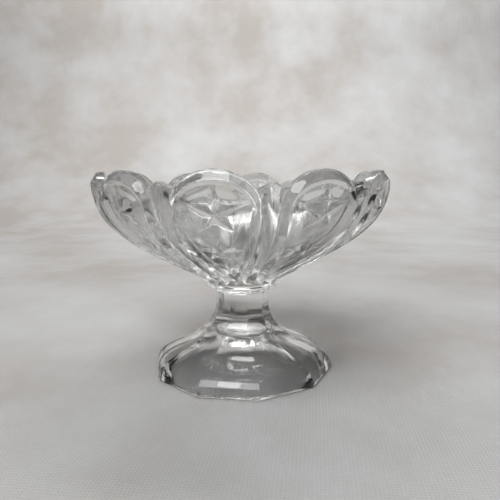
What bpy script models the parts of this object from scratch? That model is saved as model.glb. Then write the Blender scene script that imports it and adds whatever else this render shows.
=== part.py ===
"""Pressed-glass footed dish: a ten-lobed bowl with star panels, a faceted joining
wafer and a hollow ten-sided pedestal.

Units are metres, +Z is up, the dish stands on Z = 0 with its axis on the origin.
One flat panel of the foot and one lobe of the bowl face -Y.
"""
import math

import bmesh
import bpy
from mathutils import Vector
from mathutils.geometry import delaunay_2d_cdt

MM = 0.001

# ---- overall sizes ---------------------------------------------------------
SIDES = 10                        # lobes round the bowl, facets round the foot
RIM_RADIUS = 32.3 * MM            # bowl at its widest, on the edge of the rim bevel
TOTAL_HEIGHT = 44.8 * MM          # table to the top of a lobe
FOOT_RADIUS = 20.7 * MM           # centre to a corner of the foot
PEDESTAL_HEIGHT = 16.4 * MM       # table to the joint under the wafer
WAFER_HEIGHT = 3.3 * MM           # joint to joint

# ---- pedestal --------------------------------------------------------------
STEM_RADIUS = 6.1 * MM            # centre to a corner at the waist
COVE_RADIUS = 13.6 * MM           # where the hollow cove turns into the shoulder
COVE_HEIGHT = 6.15 * MM           # height of that turn
COVE_SLOPE = math.radians(22.0)   # fall of the foot at that turn
FOOT_EDGE_ROUND = 0.4 * MM        # softened lower corner of the skirt
FOOT_WALL = 1.9 * MM              # glass between the outside and the hollow
HOLLOW_HEIGHT = 8.8 * MM          # table to the crown of the hollow under the foot
HOLLOW_DOME = 1.6 * MM            # height of the domed crown of the hollow
HOLLOW_CROWN_RADIUS = 5.0 * MM    # radius of that dome
SHOULDER_RUN = 0.7                # length of the straight shoulder, share of its width
SKIRT_STAND = 0.5                 # height over which the skirt stands, share of the cove's
COVE_RUN = 0.65                   # length of the straight cove, share of its width
COVE_STAND = 0.6                  # where the cove turns up, share of the way to the waist
WAIST_DROP = 1.2 * MM             # straight stem under the wafer
SKIRT_LEAN = 0.15 * MM            # inward lean of the skirt
CORNER_SOFTENING = 0.45 * MM      # width of the polished strip along each corner
CORNER_SHARE = 0.12               # widest that strip gets, share of the radius

# ---- wafer -----------------------------------------------------------------
WAFER_STEP = 0.2 * MM             # how far it stays inside the bowl's base ring
WAFER_COLLAR = 1.3 * MM           # straight neck above the lower joint
WAFER_LAND = 0.3 * MM             # straight edge under the upper joint
WAFER_NECK_STAND = 0.35           # length of the upright start of the flare, share of it
WAFER_FLARE_RUN = 0.45            # width of its flat end, share of the flare
WAFER_FLARE_FALL = 0.25           # fall of that end, share of the flare

# ---- bowl, main body -------------------------------------------------------
BASE_RING_RADIUS = 8.9 * MM      # ten-sided ring the bowl stands on, at a corner
BASE_RING_HEIGHT = 1.0 * MM
BASE_LEDGE = 0.4 * MM             # ledge between the ring's edge and the patterned body
BODY_SLOPE = math.radians(28.4)   # rise of the lower body
BODY_REACH = 0.755                # length of that straight run, share of the overhang
SHOULDER_DROP = 10.4 * MM         # where the wall starts to stand up, below the bevel
BOWL_WALL = 3.0 * MM              # glass between the smooth body and the well
FLOOR_THICKNESS = 4.2 * MM        # glass under the middle of the well
FLOOR_TURN = 4.5 * MM             # climb over which the floor turns into the wall
TURN_SOFTNESS = 0.6               # share of the way to the sharp corner of that turn

# ---- bowl, scalloped rim ---------------------------------------------------
LOBE_HALF_WIDTH = 8.3 * MM        # half the lobe outline at its widest
LOBE_RISE = 6.6 * MM              # lobe top above the widest place
NOTCH_DROP = 3.45 * MM            # lobe top to the notch beside it
CUSP_RISE = 1.25 * MM             # little point between two notches
CUSP_HOLLOWING = 1.2              # 1 gives straight sides to that point, more hollows them
BEVEL_WIDTH = 1.8 * MM            # bevel on top of a lobe
BEVEL_DEPTH = 1.2 * MM            # how far the bevel falls back at the edge
RIM_ROUND = 0.3 * MM              # polished edge of the rim
RIM_LIFT = 0.1 * MM               # how far the polish leaves the middle of the rim proud

# ---- bowl, relief ----------------------------------------------------------
BORDER_WIDTH = 1.35 * MM          # border down both sides of a lobe
GROOVE_DEPTH = 1.35 * MM          # groove between a lobe and its rib
RIB_CROWN = 1.0 * MM              # half width of the nearly flat crown of a rib
RIB_CROWN_FALL = 0.2 * MM
RIB_FLANK = 0.1 * MM              # least width of the slope beside that crown
STEP_WIDTH = 0.5 * MM             # slope from the border down to the panel
STEP_DEPTH = 0.4 * MM
PANEL_DISH = 0.45 * MM            # further dip towards the middle of a panel
PANEL_DISH_REACH = 3.0 * MM
LARGE_STAR_RADIUS = 5.3 * MM
LARGE_STAR_RELIEF = 0.9 * MM
LARGE_STAR_BELOW_RIM = 7.6 * MM   # star centre below the top of the lobe
SMALL_STAR_RADIUS = 4.6 * MM
SMALL_STAR_RELIEF = 0.8 * MM
STAR_SPACING = 10.4 * MM           # large star centre to small star centre
STUD_HALF_WIDTH = 1.3 * MM        # diamond stud under the small star
STUD_HALF_HEIGHT = 0.95 * MM
STUD_RELIEF = 0.5 * MM
STUD_SPACING = 3.4 * MM           # small star centre to stud centre
STAR_WAIST = 0.4                  # inner corners of a star, share of its radius

# ---- fineness --------------------------------------------------------------
BODY_ROWS = 11                    # rows up the patterned body
LOBE_STEPS = 10                   # steps over the top of a lobe
WELL_ROWS = 9
COVE_ROWS = 6
SHOULDER_ROWS = 6
HOLLOW_SIDES = 50
HOLLOW_ROWS = 6
DOME_ROWS = 4
WAFER_ROWS = 5
EDGE_ROWS = 3                     # rows round the lower edge of the foot
BODY_STEPS = 60                   # steps along the curve of the smooth body
FLOOR_STEPS = 30                  # steps from the middle of the well into its wall
WELL_CROWDING = 0.9               # below 1 crowds the rows of the well towards the rim
NORMAL_SPAN = 0.6 * MM            # reach either way when measuring which way is out
ROW_CLEARANCE = 0.4 * MM          # rows keep this far from the widest place of a lobe
TIP_CLEARANCE = 0.3 * MM          # narrowest place of an inset outline that gets a row
PANEL_HOLD = 0.75                 # holding points in a panel, share of its half width
DRAWING_GRID = 0.001 * MM         # points closer than this are one point
WELD = 0.002 * MM

# ---- derived ---------------------------------------------------------------
PITCH = 2 * math.pi / SIDES
HALF = PITCH / 2
BOWL_BASE = PEDESTAL_HEIGHT + WAFER_HEIGHT
BODY_BASE = BOWL_BASE + BASE_RING_HEIGHT
BEVEL_LEVEL = TOTAL_HEIGHT - BEVEL_WIDTH
WELL_FLOOR = BOWL_BASE + FLOOR_THICKNESS
INNER_RADIUS = RIM_RADIUS - BOWL_WALL
BODY_START = BASE_RING_RADIUS - BASE_LEDGE


def clear_scene():
    for item in list(bpy.data.objects):
        bpy.data.objects.remove(item, do_unlink=True)


def glass(name, tint):
    """Clear pressed glass with its own faint tint."""
    mat = bpy.data.materials.new(name)
    mat.use_nodes = True
    shader = mat.node_tree.nodes["Principled BSDF"]
    shader.inputs["Base Color"].default_value = (*tint, 1.0)
    shader.inputs["Roughness"].default_value = 0.03
    shader.inputs["IOR"].default_value = 1.5
    shader.inputs["Transmission Weight"].default_value = 0.9
    mat.diffuse_color = (*tint, 0.5)
    return mat


def bezier(start, lead, trail, end, t):
    """Point on a cubic curve given by its two ends and two handles."""
    u = 1 - t
    return tuple(u ** 3 * a + 3 * u * u * t * b + 3 * u * t * t * c + t ** 3 * d
                 for a, b, c, d in zip(start, lead, trail, end))


class Profile:
    """A curve in the (radius, height) plane that can be read by distance along it."""

    def __init__(self, points):
        self.points = points
        self.lengths = [0.0]
        for (r0, z0), (r1, z1) in zip(points, points[1:]):
            self.lengths.append(self.lengths[-1] + math.hypot(r1 - r0, z1 - z0))

    def locate(self, distance):
        for i in range(len(self.points) - 2):
            if distance < self.lengths[i + 1]:
                break
        else:
            i = len(self.points) - 2
        span = self.lengths[i + 1] - self.lengths[i]
        return i, (distance - self.lengths[i]) / span

    def at(self, distance):
        i, t = self.locate(distance)
        (r0, z0), (r1, z1) = self.points[i], self.points[i + 1]
        return r0 + (r1 - r0) * t, z0 + (z1 - z0) * t

    def normal(self, distance):
        """Unit direction out of the body, as (radial, vertical)."""
        r0, z0 = self.at(max(distance - NORMAL_SPAN, 0.0))
        r1, z1 = self.at(distance + NORMAL_SPAN)
        size = math.hypot(r1 - r0, z1 - z0)
        return (z1 - z0) / size, -(r1 - r0) / size

    def distance_at_height(self, height):
        for i, ((_, z0), (_, z1)) in enumerate(zip(self.points, self.points[1:])):
            if z0 <= height <= z1 and z1 > z0:
                share = (height - z0) / (z1 - z0)
                return self.lengths[i] + share * (self.lengths[i + 1] - self.lengths[i])
        return self.lengths[-1] + height - self.points[-1][1]


def body_profile():
    """Outside of the bowl over the crests, from the base ring to the lobe tops."""
    start = (BODY_START, BODY_BASE)
    run = BODY_REACH * (RIM_RADIUS - BODY_START)
    lead = (start[0] + run * math.cos(BODY_SLOPE), start[1] + run * math.sin(BODY_SLOPE))
    trail = (RIM_RADIUS, BEVEL_LEVEL - SHOULDER_DROP)
    end = (RIM_RADIUS, BEVEL_LEVEL)
    curve = [bezier(start, lead, trail, end, i / BODY_STEPS) for i in range(BODY_STEPS + 1)]
    return Profile(curve + [(RIM_RADIUS, TOTAL_HEIGHT + BEVEL_WIDTH)])


def well_profile():
    """Inside of the bowl: a flat floor, a turn, then one wall thickness in from the body."""
    wall = []
    for distance in BODY.lengths[:-1]:
        radius, height = BODY.at(distance)
        out, up = BODY.normal(distance)
        wall.append((radius - out * BOWL_WALL, height - up * BOWL_WALL))
    wall = [place for place in wall if place[1] > WELL_FLOOR + FLOOR_TURN]
    (r0, z0), (r1, z1) = wall[:2]
    corner = r0 - (z0 - WELL_FLOOR) * (r1 - r0) / (z1 - z0)
    lead = (corner * TURN_SOFTNESS, WELL_FLOOR)
    trail = (r0 + (corner - r0) * TURN_SOFTNESS, z0 + (WELL_FLOOR - z0) * TURN_SOFTNESS)
    floor = [bezier((0.0, WELL_FLOOR), lead, trail, (r0, z0), i / FLOOR_STEPS)
             for i in range(FLOOR_STEPS)]
    return Profile(floor + wall + [(INNER_RADIUS, TOTAL_HEIGHT + BEVEL_WIDTH)])


BODY = body_profile()
WELL = well_profile()
TOP = BODY.distance_at_height(TOTAL_HEIGHT)
WIDEST = TOP - LOBE_RISE
NOTCH = TOP - NOTCH_DROP
NOTCH_X = LOBE_HALF_WIDTH * math.sqrt(1 - ((NOTCH - WIDEST) / LOBE_RISE) ** 2)
RIB_HALF = HALF * BODY.at(WIDEST)[0] - LOBE_HALF_WIDTH
LARGE_STAR = TOP - LARGE_STAR_BELOW_RIM
SMALL_STAR = LARGE_STAR - STAR_SPACING
STUD = SMALL_STAR - STUD_SPACING


# A place on the outside of one lobe is (x, v): x is the distance sideways from the
# middle of the lobe, v the distance up the profile from the base ring.

def sector_half(v):
    return HALF * BODY.at(v)[0]


def half_width(v, inset, rise_inset):
    """Half width at v of the lobe outline, moved inwards by the inset."""
    if v <= WIDEST:
        return max(sector_half(v) - RIB_HALF - inset, 0.0)
    share = (v - WIDEST) / (LOBE_RISE - rise_inset)
    return (LOBE_HALF_WIDTH - inset) * math.sqrt(max(1 - share * share, 0.0))


def outline_distance(x, v, inset, rise_inset):
    """How far (x, v) lies inside the lobe outline moved inwards by the inset."""
    if v <= WIDEST:
        return sector_half(v) - RIB_HALF - inset - abs(x)
    a = LOBE_HALF_WIDTH - inset
    b = LOBE_RISE - rise_inset
    y = v - WIDEST
    rho = math.hypot(x / a, y / b)
    if rho < 1e-6:
        return b
    return (1 - rho) * rho / math.hypot(x / a ** 2, y / b ** 2)


def rim_height(x):
    """Distance up the profile of the scalloped edge at x."""
    x = abs(x)
    if x <= NOTCH_X:
        return WIDEST + LOBE_RISE * math.sqrt(1 - (x / LOBE_HALF_WIDTH) ** 2)
    edge = HALF * RIM_RADIUS
    share = (edge - x) / (edge - NOTCH_X)
    return NOTCH + CUSP_RISE * (1 - share ** CUSP_HOLLOWING)


def star_corners(centre, radius):
    """Ten corners of a five-pointed star, first point up."""
    corners = []
    for i in range(10):
        reach = radius if i % 2 == 0 else radius * STAR_WAIST
        angle = math.pi / 5 * i
        corners.append((reach * math.sin(angle), centre + reach * math.cos(angle)))
    return corners


def stud_corners():
    return [(0.0, STUD + STUD_HALF_HEIGHT), (STUD_HALF_WIDTH, STUD),
            (0.0, STUD - STUD_HALF_HEIGHT), (-STUD_HALF_WIDTH, STUD)]


ORNAMENTS = [
    ((0.0, LARGE_STAR), star_corners(LARGE_STAR, LARGE_STAR_RADIUS), LARGE_STAR_RELIEF),
    ((0.0, SMALL_STAR), star_corners(SMALL_STAR, SMALL_STAR_RADIUS), SMALL_STAR_RELIEF),
    ((0.0, STUD), stud_corners(), STUD_RELIEF),
]


def ornament_height(x, v):
    """Pyramid relief: full at the centre of a star, nothing on its outline."""
    for (cx, cv), corners, relief in ORNAMENTS:
        for (ax, av), (bx, bv) in zip(corners, corners[1:] + corners[:1]):
            ax, av, bx, bv = ax - cx, av - cv, bx - cx, bv - cv
            px, pv = x - cx, v - cv
            area = ax * bv - bx * av
            wa = (px * bv - bx * pv) / area
            wb = (ax * pv - px * av) / area
            if wa >= -1e-9 and wb >= -1e-9 and wa + wb <= 1 + 1e-9:
                return relief * (1 - wa - wb)
    return 0.0


def edge_depth(v):
    """Depth of the lobe outline: groove at the sides, foot of the bevel on top."""
    share = min(max((v - WIDEST) / LOBE_RISE, 0.0), 1.0)
    return GROOVE_DEPTH + (BEVEL_DEPTH - GROOVE_DEPTH) * share


def relief(x, v):
    """Height of the outside above the smooth body at (x, v); mostly negative."""
    to_outline = outline_distance(x, v, 0.0, 0.0)
    if to_outline <= 0:
        from_rib = max(sector_half(v) - abs(x), 0.0)
        flank = max(sector_half(v) - half_width(v, 0.0, 0.0), RIB_CROWN + RIB_FLANK)
        if from_rib < RIB_CROWN:
            return -RIB_CROWN_FALL * from_rib / RIB_CROWN
        share = min((from_rib - RIB_CROWN) / (flank - RIB_CROWN), 1.0)
        return -RIB_CROWN_FALL - (edge_depth(v) - RIB_CROWN_FALL) * share
    to_crest = outline_distance(x, v, BORDER_WIDTH, BEVEL_WIDTH)
    if to_crest <= 0:
        return edge_depth(v) * (to_outline / (to_outline - to_crest) - 1)
    if to_crest < STEP_WIDTH:
        return -STEP_DEPTH * to_crest / STEP_WIDTH
    dish = min((to_crest - STEP_WIDTH) / PANEL_DISH_REACH, 1.0)
    dish = dish * dish * (3 - 2 * dish)
    return ornament_height(x, v) - STEP_DEPTH - PANEL_DISH * dish


def body_point(x, v):
    """Where (x, v) of the lobe facing -Y lies in space."""
    radius, height = BODY.at(v)
    out, up = BODY.normal(v)
    angle = max(-HALF, min(HALF, x / radius))
    lift = relief(x, v)
    radius += out * lift
    return Vector((radius * math.sin(angle), -radius * math.cos(angle), height + up * lift))


def turned(point, angle):
    c, s = math.cos(angle), math.sin(angle)
    return Vector((c * point[0] - s * point[1], s * point[0] + c * point[1], point[2]))


def rim_stations():
    """Places along the rim of one lobe, from one rib to the next."""
    lobe = [-NOTCH_X * math.cos(math.pi * i / LOBE_STEPS) for i in range(LOBE_STEPS + 1)]
    edge = HALF * RIM_RADIUS
    outer = [NOTCH_X + (edge - NOTCH_X) * share for share in (0.5, 1.0)]
    return [-x for x in reversed(outer)] + lobe + outer


def body_rows():
    return [NOTCH * i / BODY_ROWS for i in range(BODY_ROWS)]


def sector_outline_lines():
    """Lines of the relief running up each side of a lobe, as half widths at v."""
    return [lambda v: sector_half(v),
            lambda v: sector_half(v) - RIB_CROWN,
            lambda v: half_width(v, 0.0, 0.0),
            lambda v: half_width(v, BORDER_WIDTH, BEVEL_WIDTH),
            lambda v: half_width(v, BORDER_WIDTH + STEP_WIDTH, BEVEL_WIDTH + STEP_WIDTH)]


class Plan:
    """Flat drawing of one lobe: points, crease lines and the outer boundary."""

    def __init__(self):
        self.points = []
        self.index = {}
        self.creases = []

    def add(self, x, v):
        key = (round(x / DRAWING_GRID), round(v / DRAWING_GRID))
        if key not in self.index:
            self.index[key] = len(self.points)
            self.points.append((x, v))
        return self.index[key]

    def line(self, places):
        ids = [self.add(x, v) for x, v in places]
        self.creases += [(a, b) for a, b in zip(ids, ids[1:]) if a != b]
        return ids


def crest_arch(inset, rise_inset):
    """Arch of a lobe outline moved inwards, from its widest place over the top."""
    a = LOBE_HALF_WIDTH - inset
    b = LOBE_RISE - rise_inset
    steps = LOBE_STEPS
    return [(-a * math.cos(math.pi * i / steps), WIDEST + b * math.sin(math.pi * i / steps))
            for i in range(steps + 1)]


def draw_plan():
    """Everything that shows as an edge on the outside of one lobe."""
    plan = Plan()
    rows = body_rows()
    low = [v for v in rows if v < WIDEST - ROW_CLEARANCE]
    high = [v for v in rows if v > WIDEST + ROW_CLEARANCE]
    levels = low + [WIDEST] + high
    crown_end = (HALF * RIM_RADIUS - RIB_CROWN, rim_height(HALF * RIM_RADIUS - RIB_CROWN))
    rib, crown, groove, crest, step = sector_outline_lines()
    for sign in (-1, 1):
        side = [(sign * groove(v), v) for v in levels]
        plan.line(side + [(sign * NOTCH_X, rim_height(NOTCH_X))])
        edge = [(sign * crown(v), v) for v in levels]
        plan.line(edge + [(sign * crown_end[0], crown_end[1])])
    for line, inset, rise in ((crest, BORDER_WIDTH, BEVEL_WIDTH),
                              (step, BORDER_WIDTH + STEP_WIDTH, BEVEL_WIDTH + STEP_WIDTH)):
        open_rows = [v for v in low if line(v) > TIP_CLEARANCE]
        arch = crest_arch(inset, rise)
        left = [(-line(v), v) for v in open_rows]
        right = [(line(v), v) for v in reversed(open_rows)]
        foot = [(0.0, closing_height(inset))]
        plan.line(foot + left + arch + right + foot)
    for centre, corners, _ in ORNAMENTS:
        ring = plan.line(corners + corners[:1])
        hub = plan.add(*centre)
        plan.creases += [(hub, corner) for corner in ring[:-1]]
    for v in rows:
        for share in (-PANEL_HOLD, PANEL_HOLD):
            if v > SMALL_STAR + SMALL_STAR_RADIUS * STAR_WAIST:
                plan.add(share * step(v), v)
    plan.add(0.0, (LARGE_STAR + LARGE_STAR_RADIUS + TOP - BEVEL_WIDTH - STEP_WIDTH) / 2)
    rim = [(x, rim_height(x)) for x in rim_stations()]
    rim += [(-crown_end[0], crown_end[1]), crown_end]
    rim_points = sorted(set(rim))
    left = [(-rib(v), v) for v in reversed(levels)]
    right = [(rib(v), v) for v in levels]
    base = [(x, 0.0) for x in (-crown(0.0), -groove(0.0), 0.0, groove(0.0), crown(0.0))]
    loop = base + right + list(reversed(rim_points)) + left
    return plan, loop, rim_points


def closing_height(inset):
    """Height up the body where both sides of an inset outline meet."""
    low, high = 0.0, WIDEST
    for _ in range(40):
        mid = (low + high) / 2
        if sector_half(mid) - RIB_HALF - inset > 0:
            high = mid
        else:
            low = mid
    return high


def build_bowl(material):
    plan, loop, rim = draw_plan()
    boundary = [plan.add(x, v) for x, v in loop]
    flat = [Vector((x / MM, v / MM)) for x, v in plan.points]
    verts, _, faces, _, _, _ = delaunay_2d_cdt(flat, plan.creases, [boundary], 1, 1e-4)
    plan_points = [(p[0] * MM, p[1] * MM) for p in verts]
    bm = bmesh.new()
    for k in range(SIDES):
        angle = PITCH * k
        made = [bm.verts.new(turned(body_point(x, v), angle)) for x, v in plan_points]
        for face in faces:
            bm.faces.new([made[i] for i in face])
    add_rim_and_well(bm, rim)
    add_base(bm, [(x, v) for x, v in loop if v == 0.0])
    return finish(bm, "bowl", material, 13)


def add_rim_and_well(bm, rim):
    """Polished top edge and the smooth inside, ring by ring down to the floor."""
    columns = []
    for k in range(SIDES):
        for x, v in rim[:-1]:
            outer = body_point(x, v)
            radius = math.hypot(outer.x, outer.y)
            angle = math.atan2(outer.x, -outer.y)
            columns.append((outer, radius, angle, k))
    rings = [[], [], []]
    for outer, radius, angle, k in columns:
        middle = radius - RIM_ROUND
        inside = INNER_RADIUS + RIM_ROUND
        rings[0].append(turned(outer, PITCH * k))
        rings[1].append(turned(polar(middle, angle, outer.z + RIM_LIFT), PITCH * k))
        rings[2].append(turned(polar(inside, angle, outer.z + RIM_LIFT), PITCH * k))
    for row in range(WELL_ROWS, 0, -1):
        ring = []
        for outer, _, angle, k in columns:
            distance = WELL.distance_at_height(outer.z) * (row / WELL_ROWS) ** WELL_CROWDING
            radius, level = WELL.at(distance)
            ring.append(turned(polar(radius, angle, level), PITCH * k))
        rings.append(ring)
    loops = [[bm.verts.new(p) for p in ring] for ring in rings]
    for upper, lower in zip(loops, loops[1:]):
        bridge(bm, lower, upper)
    centre = bm.verts.new((0.0, 0.0, WELL_FLOOR))
    last = loops[-1]
    for a, b in zip(last, last[1:] + last[:1]):
        bm.faces.new((a, b, centre))


def add_base(bm, row):
    """Ten-sided ring under the patterned body, closed by a flat joint face."""
    row = sorted(row)
    inner = []
    shoulder = []
    foot = []
    for k in range(SIDES):
        for x, v in row[:-1]:
            point = body_point(x, v)
            angle = math.atan2(point.x, -point.y)
            edge = BASE_RING_RADIUS * math.cos(HALF) / math.cos(angle)
            inner.append(bm.verts.new(turned(point, PITCH * k)))
            shoulder.append(bm.verts.new(turned(polar(edge, angle, BODY_BASE), PITCH * k)))
            foot.append(bm.verts.new(turned(polar(edge, angle, BOWL_BASE), PITCH * k)))
    bridge(bm, shoulder, inner)
    bridge(bm, foot, shoulder)
    bm.faces.new(list(reversed(foot)))


def polar(radius, angle, height):
    """Point at an angle measured from -Y towards +X."""
    return Vector((radius * math.sin(angle), -radius * math.cos(angle), height))


def bridge(bm, lower, upper):
    """Wall between two closed rings, facing away from the axis when lower is below."""
    count = len(lower)
    for i in range(count):
        j = (i + 1) % count
        bm.faces.new((lower[i], lower[j], upper[j], upper[i]))


def facet_ring(bm, radius, height):
    """Ten-sided ring with a narrow polished strip at every corner."""
    ring = []
    soft = min(CORNER_SOFTENING, radius * CORNER_SHARE) / 2
    flat_half = radius * math.sin(HALF) - soft
    apothem = radius * math.cos(HALF)
    for k in range(SIDES):
        for x in (-flat_half, flat_half):
            ring.append(bm.verts.new(turned((x, -apothem, height), PITCH * k)))
    return ring


def pedestal_profile():
    """Corner line of the pedestal from the table up to the joint under the wafer."""
    turn = (COVE_RADIUS, COVE_HEIGHT)
    fall = (math.cos(COVE_SLOPE), math.sin(COVE_SLOPE))
    skirt = (FOOT_RADIUS, FOOT_EDGE_ROUND)
    run = SHOULDER_RUN * (FOOT_RADIUS - COVE_RADIUS)
    lead = (turn[0] + run * fall[0], turn[1] - run * fall[1])
    trail = (FOOT_RADIUS - SKIRT_LEAN, COVE_HEIGHT * SKIRT_STAND)
    points = []
    for i in range(EDGE_ROWS):
        t = math.pi / 2 * i / EDGE_ROWS
        points.append((FOOT_RADIUS - FOOT_EDGE_ROUND * (1 - math.sin(t)),
                       FOOT_EDGE_ROUND * (1 - math.cos(t))))
    points += [bezier(skirt, trail, lead, turn, i / SHOULDER_ROWS)
               for i in range(SHOULDER_ROWS)]
    waist = (STEM_RADIUS, PEDESTAL_HEIGHT - WAIST_DROP)
    run = COVE_RUN * (COVE_RADIUS - STEM_RADIUS)
    lead = (turn[0] - run * fall[0], turn[1] + run * fall[1])
    trail = (STEM_RADIUS, COVE_HEIGHT + COVE_STAND * (waist[1] - COVE_HEIGHT))
    points += [bezier(turn, lead, trail, waist, i / COVE_ROWS) for i in range(COVE_ROWS + 1)]
    return points + [(STEM_RADIUS, PEDESTAL_HEIGHT)]


def hollow_profile():
    """Round hollow under the foot, from its mouth to the edge of the crown's middle."""
    fall = (math.cos(COVE_SLOPE), math.sin(COVE_SLOPE))
    mouth = FOOT_RADIUS * math.cos(HALF) - FOOT_WALL
    turn = (COVE_RADIUS * math.cos(HALF) - FOOT_WALL * fall[1], COVE_HEIGHT - FOOT_WALL * fall[0])
    lead = (mouth, turn[1] * SKIRT_STAND)
    run = SHOULDER_RUN * (mouth - turn[0])
    trail = (turn[0] + run * fall[0], turn[1] - run * fall[1])
    points = [bezier((mouth, 0.0), lead, trail, turn, i / HOLLOW_ROWS) for i in range(HOLLOW_ROWS)]
    crown = (HOLLOW_CROWN_RADIUS, HOLLOW_HEIGHT - HOLLOW_DOME)
    points += [(turn[0] + (crown[0] - turn[0]) * share, turn[1] + (crown[1] - turn[1]) * share)
               for share in (0.0, 0.5)]
    for i in range(DOME_ROWS):
        angle = math.pi / 2 * i / DOME_ROWS
        points.append((crown[0] * math.cos(angle), crown[1] + HOLLOW_DOME * math.sin(angle)))
    return points


def build_pedestal(material):
    bm = bmesh.new()
    rings = [facet_ring(bm, radius, height) for radius, height in pedestal_profile()]
    for lower, upper in zip(rings, rings[1:]):
        bridge(bm, lower, upper)
    bm.faces.new(rings[-1])
    hollow = []
    for radius, height in hollow_profile():
        hollow.append([bm.verts.new(polar(radius, 2 * math.pi * i / HOLLOW_SIDES, height))
                       for i in range(HOLLOW_SIDES)])
    for lower, upper in zip(hollow, hollow[1:]):
        bridge(bm, upper, lower)
    crown = bm.verts.new((0.0, 0.0, HOLLOW_HEIGHT))
    last = hollow[-1]
    for a, b in zip(last, last[1:] + last[:1]):
        bm.faces.new((b, a, crown))
    fill_between(bm, rings[0], hollow[0])
    return finish(bm, "pedestal", material, 16)


def fill_between(bm, outer, inner):
    """Flat standing rim between the skirt and the hollow, facing down."""
    edges = []
    for ring in (outer, inner):
        for a, b in zip(ring, ring[1:] + ring[:1]):
            edges.append(bm.edges.get((a, b)) or bm.edges.new((a, b)))
    bmesh.ops.triangle_fill(bm, edges=edges, use_beauty=True, normal=(0.0, 0.0, -1.0))


def build_wafer(material):
    """Short faceted flare that joins the bowl to the stem."""
    top = BASE_RING_RADIUS - WAFER_STEP
    neck = PEDESTAL_HEIGHT + WAFER_COLLAR
    bm = bmesh.new()
    start = (STEM_RADIUS, neck)
    lead = (STEM_RADIUS, neck + WAFER_NECK_STAND * (BOWL_BASE - neck))
    trail = (top - WAFER_FLARE_RUN * (top - STEM_RADIUS),
             BOWL_BASE - WAFER_FLARE_FALL * (BOWL_BASE - neck))
    end = (top, BOWL_BASE - WAFER_LAND)
    points = [(STEM_RADIUS, PEDESTAL_HEIGHT)]
    points += [bezier(start, lead, trail, end, i / WAFER_ROWS) for i in range(WAFER_ROWS + 1)]
    points.append((top, BOWL_BASE))
    rings = [facet_ring(bm, radius, height) for radius, height in points]
    for lower, upper in zip(rings, rings[1:]):
        bridge(bm, lower, upper)
    bm.faces.new(list(reversed(rings[0])))
    bm.faces.new(rings[-1])
    return finish(bm, "wafer", material, 16)


def finish(bm, name, material, smooth_angle):
    """Weld, face outwards, triangulate and shade; returns the finished object."""
    bmesh.ops.remove_doubles(bm, verts=bm.verts, dist=WELD)
    bmesh.ops.triangulate(bm, faces=bm.faces)
    bmesh.ops.recalc_face_normals(bm, faces=bm.faces)
    mesh = bpy.data.meshes.new(name)
    bm.to_mesh(mesh)
    bm.free()
    for polygon in mesh.polygons:
        polygon.use_smooth = True
    mesh.set_sharp_from_angle(angle=math.radians(smooth_angle))
    mesh.materials.append(material)
    item = bpy.data.objects.new(name, mesh)
    bpy.context.scene.collection.objects.link(item)
    return item


def main():
    clear_scene()
    build_pedestal(glass("pedestal_glass", (0.86, 0.9, 0.88)))
    build_wafer(glass("wafer_glass", (0.84, 0.89, 0.87)))
    build_bowl(glass("bowl_glass", (0.88, 0.91, 0.9)))


main()
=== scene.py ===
# %% [markdown]
# # A small footed dish of pressed glass
#
# The dish is three pieces of clear glass fused end to end: a ten-lobed bowl with stars in its panels,
# a thin faceted wafer, and a hollow ten-sided foot. This lesson makes the camera and the studio
# first, then the glass finish, then one tenth of each piece, and lets Geometry Nodes turn that tenth
# round the axis.

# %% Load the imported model
import math

import bpy
import numpy as np
from mathutils import Matrix, Vector
from mathutils.geometry import delaunay_2d_cdt
from mathutils.kdtree import KDTree


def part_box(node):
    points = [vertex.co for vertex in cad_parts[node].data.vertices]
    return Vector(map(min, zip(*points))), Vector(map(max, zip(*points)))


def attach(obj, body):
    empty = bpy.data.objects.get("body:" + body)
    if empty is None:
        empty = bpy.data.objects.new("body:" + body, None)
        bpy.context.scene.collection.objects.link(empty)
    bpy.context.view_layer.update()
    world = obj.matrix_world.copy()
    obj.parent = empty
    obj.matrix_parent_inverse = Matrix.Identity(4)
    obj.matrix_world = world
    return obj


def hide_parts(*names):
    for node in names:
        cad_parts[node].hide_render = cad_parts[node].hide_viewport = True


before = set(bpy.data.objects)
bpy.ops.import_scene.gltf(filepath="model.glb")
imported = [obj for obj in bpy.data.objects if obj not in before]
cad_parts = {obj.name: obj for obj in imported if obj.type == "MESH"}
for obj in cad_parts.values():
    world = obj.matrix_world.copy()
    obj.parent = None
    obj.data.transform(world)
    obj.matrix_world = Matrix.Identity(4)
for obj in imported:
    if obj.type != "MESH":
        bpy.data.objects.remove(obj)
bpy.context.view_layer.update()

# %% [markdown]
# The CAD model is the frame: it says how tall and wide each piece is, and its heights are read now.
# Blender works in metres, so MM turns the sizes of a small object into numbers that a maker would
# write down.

MM = 0.001
bowl_low, bowl_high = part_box("bowl")
wafer_low, wafer_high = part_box("wafer")
foot_low, foot_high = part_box("pedestal")
RIM_LIFT = 0.1 * MM                          # the CAD rim stands this far above its outer edge
TOTAL_HEIGHT = bowl_high[2] - RIM_LIFT
BOWL_BASE = bowl_low[2]
WAFER_BASE = wafer_low[2]
for part, low, high in (("bowl", bowl_low, bowl_high), ("wafer", wafer_low, wafer_high),
                        ("foot", foot_low, foot_high)):
    print(f"{part} {low[2] / MM:.2f} to {high[2] / MM:.2f} mm")

# %% [markdown]
# ## Camera
#
# A phone held close, level with the rim and looking down a little. The lens is short for the
# distance, so the near lobes look larger than the far ones. The camera's axes are worked out from its
# pitch, roll and bearing.

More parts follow.
